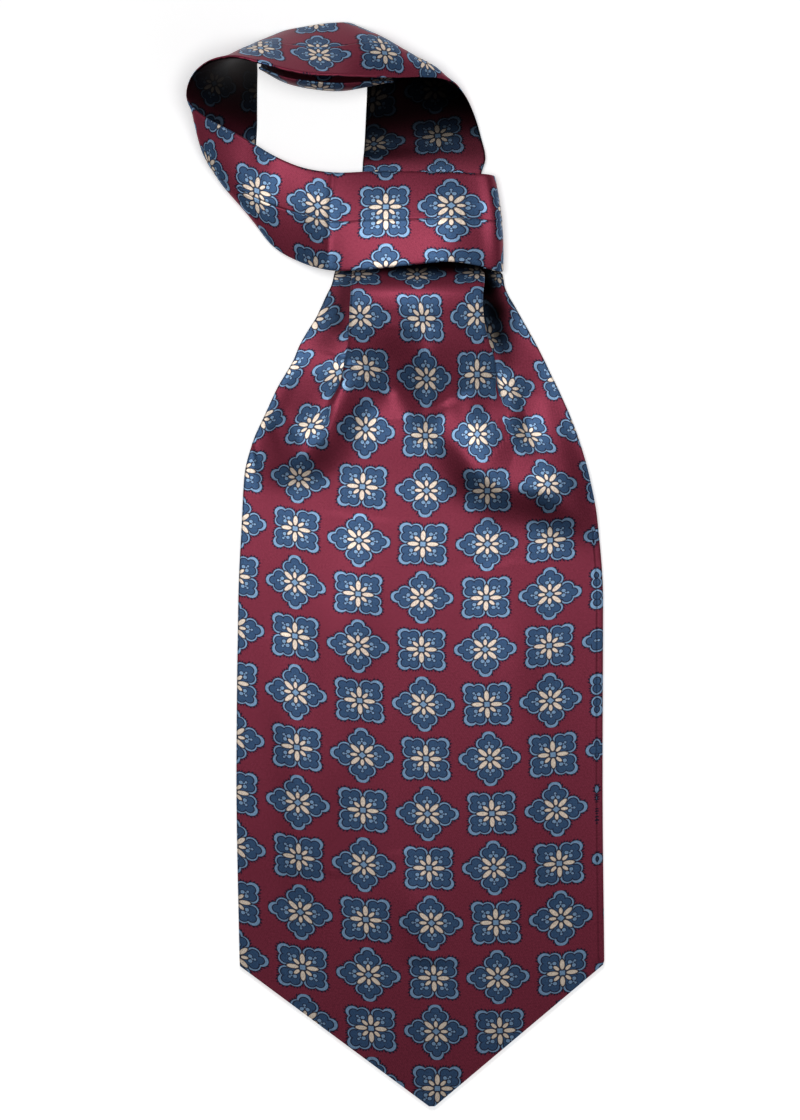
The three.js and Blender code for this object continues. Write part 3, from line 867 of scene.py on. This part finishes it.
# where the gathers lift the printed rows: x, y, half width, half height and lift in millimetres, and
# the part of the blade
rowLifts = [
    (-12.0, 78.0, 13.0, 24.0, 3.4, "panel"),
    (34.0, 90.0, 10.0, 32.0, 2.2, "panel"),
    (39.0, 96.0, 9.0, 13.0, -7.0, "right"),
    (48.0, 74.0, 9.0, 12.0, -3.2, "right"),
    (58.0, 90.0, 13.0, 28.0, -3.4, "right"),
    (64.0, 33.0, 12.0, 12.0, 1.2, "right"),
    (-43.0, 4.0, 16.0, 36.0, 1.8, "left"),
]
# the rows sag towards the hems, less so on the left above the gathers
rowSag = {"middle": 25.0, "curve": 0.00112, "leftOf": 12.0, "levelAbove": 80.0, "fade": 22.0}
# the print of the sides parts from the panel's where the tucks are deeper than this, in millimetres
tuckParts = {"from": 0.2, "over": 2.6}
# painted shade in folds too deep for much light: a line on the blade, half width in millimetres, the share
# of colour lost, and which side of the panel they lie on, or all of the blade
paintedFoldShadows = [
    (36.8, 128.0, 38.5, 116.0, 5.0, 0.86, "right"),
    (38.5, 116.0, 41.5, 106.0, 7.4, 0.8, "right"),
    (41.5, 106.0, 43.5, 96.0, 5.8, 0.66, "right"),
    (43.5, 96.0, 45.5, 86.0, 4.5, 0.4, "right"),
    (-19.0, 124.0, -23.0, 100.0, 5.0, 0.55, "left"),
    (-28.0, 118.0, -29.0, 94.0, 6.0, 0.35, "left"),
    (20.0, 53.0, 30.0, 35.0, 5.5, 0.07, "all"),
    (30.0, 35.0, 61.0, 23.0, 7.0, 0.1, "all"),
    (61.0, 23.0, 86.0, 13.0, 7.0, 0.1, "all"),
    (-34.0, 50.0, -29.0, 41.0, 5.5, 0.1, "all"),
]
# shade is painted on the cloth where it goes under the neckband, between these two places
paintedShadeUnderBand = {"dark": 125.0, "lit": 119.5, "left": 0.15}
# the right hem is rolled to the front, and its sewn line shows below the gathers and above the point
hem = {
    "rolled": 2.5,
    "leftCloth": -79.8,
    "startsAt": 30.0,
    "fullAt": 12.0,
    "lineFade": 14.0,
    "endsAt": -166.0,
    "endFade": 4.0,
}


def bladeValue(name, y):
    return fromTable(bladeRows, bladeColumns.index(name), y)


def creaseHeight(x, y):
    height = np.zeros_like(x)
    for leftWidth, rightWidth, rise, line in creases:
        parts = np.array([math.dist(a, b) for a, b in zip(line, line[1:])])
        starts = np.concatenate([[0.0], np.cumsum(parts)]) / parts.sum()
        nearest = np.full_like(x, math.inf)
        place = np.zeros_like(x)
        halfWidth = np.full_like(x, leftWidth)
        for k, (start, end) in enumerate(zip(line, line[1:])):
            away, share = nearestOnLine(x, y, start, end)
            closer = away < nearest
            nearest = np.where(closer, away, nearest)
            toLeft = (end[0] - start[0]) * (y - start[1]) - (end[1] - start[1]) * (x - start[0])
            leftShare = smoothRise(toLeft / parts[k] / creaseEase["widthChange"] + 0.5)
            halfWidth = np.where(closer, rightWidth + (leftWidth - rightWidth) * leftShare, halfWidth)
            place = np.where(closer, starts[k] + (starts[k + 1] - starts[k]) * share, place)
        dying = smoothRise(place / creaseEase["ends"]) * smoothRise((1 - place) / creaseEase["ends"])
        dying = creaseEase["least"] + (1 - creaseEase["least"]) * dying
        beside = (place > 0) * (place < 1)
        height = height + rise * bell(nearest, halfWidth) * dying * beside
    return height


# places across the unfolded cloth, crowded at the edges and in the two pleats
def clothAcross(width, leftTurn, rightTurn):
    turn = frontBlade["pleatTurn"]
    edge = frontBlade["edgeWidth"]
    hemWidth = frontBlade["hemWidth"]
    crowding = frontBlade["edgeCrowding"]
    start = 0 * width
    stops = [start, start + edge, start + hemWidth, leftTurn, leftTurn + turn]
    stops += [rightTurn, rightTurn + turn, width - hemWidth, width - edge, width]
    parts = ["edge", "hem", "side", "pleat", "panel", "pleat", "side", "hem", "edge"]
    cloth = [start]
    for k, part in enumerate(parts):
        count = frontBlade["columns"][part]
        for share in np.arange(1, count + 1) / count:
            if k == 0:
                share = share**crowding
            if k == len(parts) - 1:
                share = 1 - (1 - share) ** crowding
            cloth.append(stops[k] + (stops[k + 1] - stops[k]) * share)
    return np.concatenate(cloth, axis=1)


# the blade where its tucks run down it, as a grid of points in millimetres, and how far each point has
# gone through the left and the right tuck, 0 to 1
def pleatedGrid(y):
    row = {name: bladeValue(name, y)[:, None] for name in bladeColumns[1:]}
    turn = frontBlade["pleatTurn"]
    width = row["right"] - row["left"] + row["tuckLeft"] + row["tuckRight"]
    leftTurn = row["pleatLeft"] - row["left"] + row["tuckLeft"] / 2 - turn / 2
    rightTurn = row["pleatRight"] - row["left"] + row["tuckLeft"] + row["tuckRight"] / 2 - turn / 2
    cloth = clothAcross(width, leftTurn, rightTurn)
    onLeft = smoothRise((cloth - leftTurn) / turn)
    onRight = smoothRise((cloth - rightTurn) / turn)
    x = row["left"] + cloth - row["tuckLeft"] * onLeft - row["tuckRight"] * onRight
    yGrid = y[:, None] + 0 * cloth
    onPanel = onLeft - onRight
    acrossPanel = 2 * (cloth - leftTurn - turn) / (rightTurn - leftTurn - turn) - 1
    crown = row["panel"] * frontBlade["crown"] * onPanel * np.maximum(0, 1 - acrossPanel**2)
    inLeft = smoothRise(cloth / leftTurn) * row["sideLeft"] * (1 - onLeft)
    inRight = smoothRise((width - cloth) / (width - rightTurn - turn)) * row["sideRight"] * onRight
    lift = row["panel"] * onPanel + crown + inLeft + inRight
    fromHems = smoothRise(np.minimum(cloth, width - cloth) / creaseEase["hemReach"])
    held = creaseEase["atHem"] + (1 - creaseEase["atHem"]) * fromHems
    settled = np.maximum(0, lift + creaseHeight(x, yGrid) * held)
    grid = np.stack([x, yGrid, frontBlade["restHeight"] + settled], axis=-1)
    hidden = frontBlade["hiddenShare"]
    tucked = [((cloth - start) / turn - hidden) / (1 - 2 * hidden) for start in (leftTurn, rightTurn)]
    return grid, [smoothRise(share) for share in tucked]


# the pointed end draws the last row together to the tip
def pointedGrid(lastRow, shares):
    t = (lastRow[:, 0] - lastRow[0, 0]) / (lastRow[-1, 0] - lastRow[0, 0])
    point = np.array([tip["x"], tip["y"]])
    halfTip = np.array([tip["width"] / 2, 0.0])
    left, right = np.array(shoulder["left"]), np.array(shoulder["right"])
    leftSide = left + (point - halfTip - left) * shares[:, None]
    rightSide = right + (point + halfTip - right) * shares[:, None]
    flat = leftSide[:, None] + (rightSide - leftSide)[:, None] * t[None, :, None]
    return np.dstack([flat, np.full(flat.shape[:2], frontBlade["restHeight"])])


# x on the flat cloth, from the columns of medallions that a place lies between
def acrossPrint(x, y, columns):
    pitch = foulard["pitch"][0] / mm
    seen = {"leftHem": bladeValue("left", y)}
    onCloth = {"leftHem": hem["leftCloth"]}
    for k, column in enumerate(printColumnNumbers):
        seen[column] = fromTable(printColumns, k + 1, y)
        onCloth[column] = column * pitch
    at = np.stack([seen[column] for column in columns], axis=1)
    there = np.array([onCloth[column] for column in columns])
    found = np.empty_like(x)
    for i in range(len(x)):
        beyond = np.minimum(0, x[i] - at[i, 0]) + np.maximum(0, x[i] - at[i, -1])
        found[i] = np.interp(x[i], at[i], there) + beyond
    return found


# the place on the printed cloth of each point of the blade; between the panel and the sides it runs
# on inside the tucks
def clothOfBlade(grid, tucked, bodyRows):
    x, y = grid[..., 0], grid[..., 1]
    down = y[:, 0]
    onLeft, onRight = tucked
    foldHem = x.copy()
    shownHem = smoothRise((hem["startsAt"] - y[:bodyRows, :1]) / (hem["startsAt"] - hem["fullAt"]))
    seam = x[:bodyRows, -1:] - hem["rolled"] * shownHem
    foldHem[:bodyRows] = np.minimum(x[:bodyRows], 2 * seam - x[:bodyRows])
    whole = acrossPrint(foldHem, down, ("leftHem", *printColumnNumbers))
    leftSide = acrossPrint(foldHem, down, ("leftHem", -2))
    panel = acrossPrint(foldHem, down, (-1, 0, 1))
    rightSide = acrossPrint(foldHem, down, (2, 3))
    parted = leftSide + (panel - leftSide) * onLeft
    parted = parted + (rightSide - parted) * onRight
    deepest = np.maximum(bladeValue("tuckLeft", down), bladeValue("tuckRight", down))
    apart = smoothRise((deepest - tuckParts["from"]) / tuckParts["over"])
    along = whole + (parted - whole) * apart[:, None]

    level = smoothRise((y - rowSag["levelAbove"]) / rowSag["fade"])
    bow = rowSag["curve"] * (x - rowSag["middle"]) ** 2 * np.where(x < rowSag["leftOf"], 1 - level, 1.0)
    parts = {"left": 1 - onLeft, "panel": onLeft * (1 - onRight), "right": onRight}
    for atX, atY, halfWidth, halfHeight, lift, part in rowLifts:
        near = bell(np.hypot((x - atX) / halfWidth, (y - atY) / halfHeight), 1.0)
        bow = bow + lift * near * parts[part]
    rows = fromTable(printRows, 1, (y - bow).ravel()).reshape(y.shape)
    return np.stack([along * mm, -rows * foulard["pitch"][1]], axis=-1)


# the shade painted on the front of the blade, in its deep folds and under the neckband, as the share of
# its colour left
def paintedShadeOfBlade(grid, tucked):
    x, y = grid[..., 0], grid[..., 1]
    onLeft, onRight = tucked
    light = np.ones_like(x)
    shown = {"left": 1 - onLeft, "right": onRight, "all": light}
    for x0, y0, x1, y1, halfWidth, loss, side in paintedFoldShadows:
        away, _ = nearestOnLine(x, y, (x0, y0), (x1, y1))
        light = light * (1 - loss * shown[side] * bell(away, halfWidth))
    dark = smoothRise((y - paintedShadeUnderBand["lit"]) / (paintedShadeUnderBand["dark"] - paintedShadeUnderBand["lit"]))
    return light * (1 - (1 - paintedShadeUnderBand["left"]) * dark)


def makeFrontBlade():
    top = frontBlade["top"]
    y = np.linspace(top, frontBlade["straightTo"], frontBlade["rows"])
    y = np.concatenate([[top], top - np.array(frontBlade["endRows"]), y[1:]])
    body, tucked = pleatedGrid(y)
    shares = np.linspace(0, 1, frontBlade["tipRows"])
    shares = np.concatenate([shares[:-1], frontBlade["tipEndShares"], [1.0]])
    grid = np.concatenate([body, pointedGrid(body[-1], shares)])
    tucked = [np.concatenate([share, np.repeat(share[-1:], len(shares), axis=0)]) for share in tucked]
    printed = clothOfBlade(grid, tucked, len(body))
    light = paintedShadeOfBlade(grid, tucked)
    tube = measureTube(grid * mm, frontBlade)

    # the hem's sewn line is moved out of reach where it doesn't show
    outOfReach = 20.0 * mm
    above = smoothRise((grid[..., 1] - hem["fullAt"]) / hem["lineFade"])
    below = smoothRise((hem["endsAt"] - grid[..., 1]) / hem["endFade"])
    fromEdge = tube["across"][:, -1:] - tube["across"]
    fromHem = fromEdge - hem["rolled"] * mm + outOfReach * (above + below)
    front = clothSide(printed, light, fromHem)
    back = clothSide(printed, fromSeam=fromHem)
    return clothTube("frontBlade", grid * mm, tube["swell"], front, back)


blade = makeFrontBlade()
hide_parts("front_blade")
show("front blade made")

backBlade = {
    "wall": 1.2 * mm,
    "edgeRadius": 0.6 * mm,
    "inset": 0.8,
    "neckTop": 123.1,
    "neck": (-24.6, 42.0),
    "straightTo": -168.5,
    "rows": 90,
    "tipRows": 30,
    "edgeWidth": 1.2,
    "edgeColumns": (0.0, 0.1, 0.35, 0.8),
    "columns": 24,
    "restHeight": 0.6,
    "printShift": 8.0 * mm,
}


def makeBackBlade():
    inset = backBlade["inset"]
    straightTo = backBlade["straightTo"]
    y = np.linspace(backBlade["neckTop"], straightTo, backBlade["rows"])
    left = bladeValue("left", y) + inset
    right = bladeValue("right", y) - inset
    left[0], right[0] = backBlade["neck"]
    share = np.linspace(0, 1, backBlade["tipRows"])[1:]
    y = np.concatenate([y, straightTo + (tip["y"] + inset - straightTo) * share])
    left = np.concatenate([left, left[-1] + (tip["x"] - tip["width"] / 2 - left[-1]) * share])
    right = np.concatenate([right, right[-1] + (tip["x"] + tip["width"] / 2 - right[-1]) * share])
    edgeWidth = backBlade["edgeWidth"]
    edge = np.array(backBlade["edgeColumns"])
    t = np.linspace(0, 1, backBlade["columns"] + 1)[None, :]
    inner = left[:, None] + edgeWidth + (right - left - 2 * edgeWidth)[:, None] * t
    x = np.concatenate([left[:, None] + edge, inner, right[:, None] - edge[::-1]], axis=1)
    grid = np.stack([x, y[:, None] + 0 * x, 0 * x + backBlade["restHeight"]], axis=-1) * mm
    side = clothSide(grid[..., :2] + backBlade["printShift"])
    return clothTube("backBlade", grid, measureTube(grid, backBlade)["swell"], side, side)


under = makeBackBlade()
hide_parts("back_blade")
show("back blade made")


# table, light and camera

studio = {
    "tableSize": 6.0,
    "tableColour": (0.86, 0.86, 0.86),
    "tableWhite": 1.04,
    "skyStrength": 0.1,
    "keyPlace": (-0.04, 0.17, 0.53),
    "keyAim": (0.0, 0.05, 0.0),
    "keySize": 0.28,
    "keyPower": 1.75,
    "fillPlace": (0.5, -0.45, 0.9),
    "fillAim": (0.0, 0.0, 0.0),
    "fillSize": 0.9,
    "fillPower": 0.7,
    "cameraHeight": 5.0,
    "sensorHeight": 24.0,
    "frameHeight": 0.4704,
    "frameCentre": (0.0019, 0.0017),
}


def makeTable():
    bm = bmesh.new()
    bmesh.ops.create_grid(bm, x_segments=2, y_segments=2, size=studio["tableSize"] / 2)
    bmesh.ops.translate(bm, verts=bm.verts, vec=(0.0, 0.0, -0.2 * mm))
    mesh = bpy.data.meshes.new("table")
    bm.to_mesh(mesh)
    bm.free()
    table = bpy.data.objects.new("table", mesh)
    bpy.context.scene.collection.objects.link(table)
    material = bpy.data.materials.new("paleTable")
    material.use_nodes = True
    shader = material.node_tree.nodes["Principled BSDF"]
    shader.inputs["Base Color"].default_value = asColour(studio["tableColour"])
    shader.inputs["Roughness"].default_value = 0.9
    shader.inputs["Specular IOR Level"].default_value = 0.0
    shader.inputs["Emission Strength"].default_value = 1.0

    # the key light falls off over the table, and a glow makes up the rest so that it is evenly white
    tree = material.node_tree
    place = tree.nodes.new("ShaderNodeTexCoord")
    x, y, height = studio["keyPlace"]
    away = vectorCalc(tree, "DISTANCE", place.outputs["Object"], (x, y, -height), output="Value")
    strongest = studio["tableColour"][0] * studio["keyPower"] * height**2 / math.pi**2
    keyShare = calc(tree, "DIVIDE", strongest, calc(tree, "POWER", away, 4.0))
    rest = studio["tableWhite"] - studio["tableColour"][0] * studio["skyStrength"]
    tree.links.new(calc(tree, "SUBTRACT", rest, keyShare), shader.inputs["Emission Color"])
    mesh.materials.append(material)


def addSoftLight(name, place, aim, size, power):
    data = bpy.data.lights.new(name, "AREA")
    data.shape = "DISK"
    data.size = size
    data.energy = power
    light = bpy.data.objects.new(name, data)
    light.location = place
    towards = np.array(aim) - np.array(place)
    flat = math.hypot(towards[0], towards[1])
    turn = math.atan2(-towards[0], towards[1])
    light.rotation_euler = (math.atan2(flat, -towards[2]), 0.0, turn)
    light.visible_camera = False
    bpy.context.scene.collection.objects.link(light)
    return light


def makeStudio():
    makeTable()
    world = bpy.data.worlds.new("studio")
    world.use_nodes = True
    sky = world.node_tree.nodes["Background"]
    sky.inputs["Color"].default_value = (1.0, 1.0, 1.0, 1.0)
    sky.inputs["Strength"].default_value = studio["skyStrength"]
    scene = bpy.context.scene
    scene.world = world
    scene.view_settings.view_transform = "Standard"
    addSoftLight("key", studio["keyPlace"], studio["keyAim"], studio["keySize"], studio["keyPower"])
    addSoftLight("fill", studio["fillPlace"], studio["fillAim"], studio["fillSize"], studio["fillPower"])
    data = bpy.data.cameras.new("camera")
    data.sensor_fit = "VERTICAL"
    data.sensor_height = studio["sensorHeight"]
    data.lens = studio["sensorHeight"] * studio["cameraHeight"] / studio["frameHeight"]
    data.clip_end = 50.0
    camera = bpy.data.objects.new("camera", data)
    camera.location = (*studio["frameCentre"], studio["cameraHeight"])
    scene.collection.objects.link(camera)
    scene.camera = camera


makeStudio()
show("table, light and camera made")

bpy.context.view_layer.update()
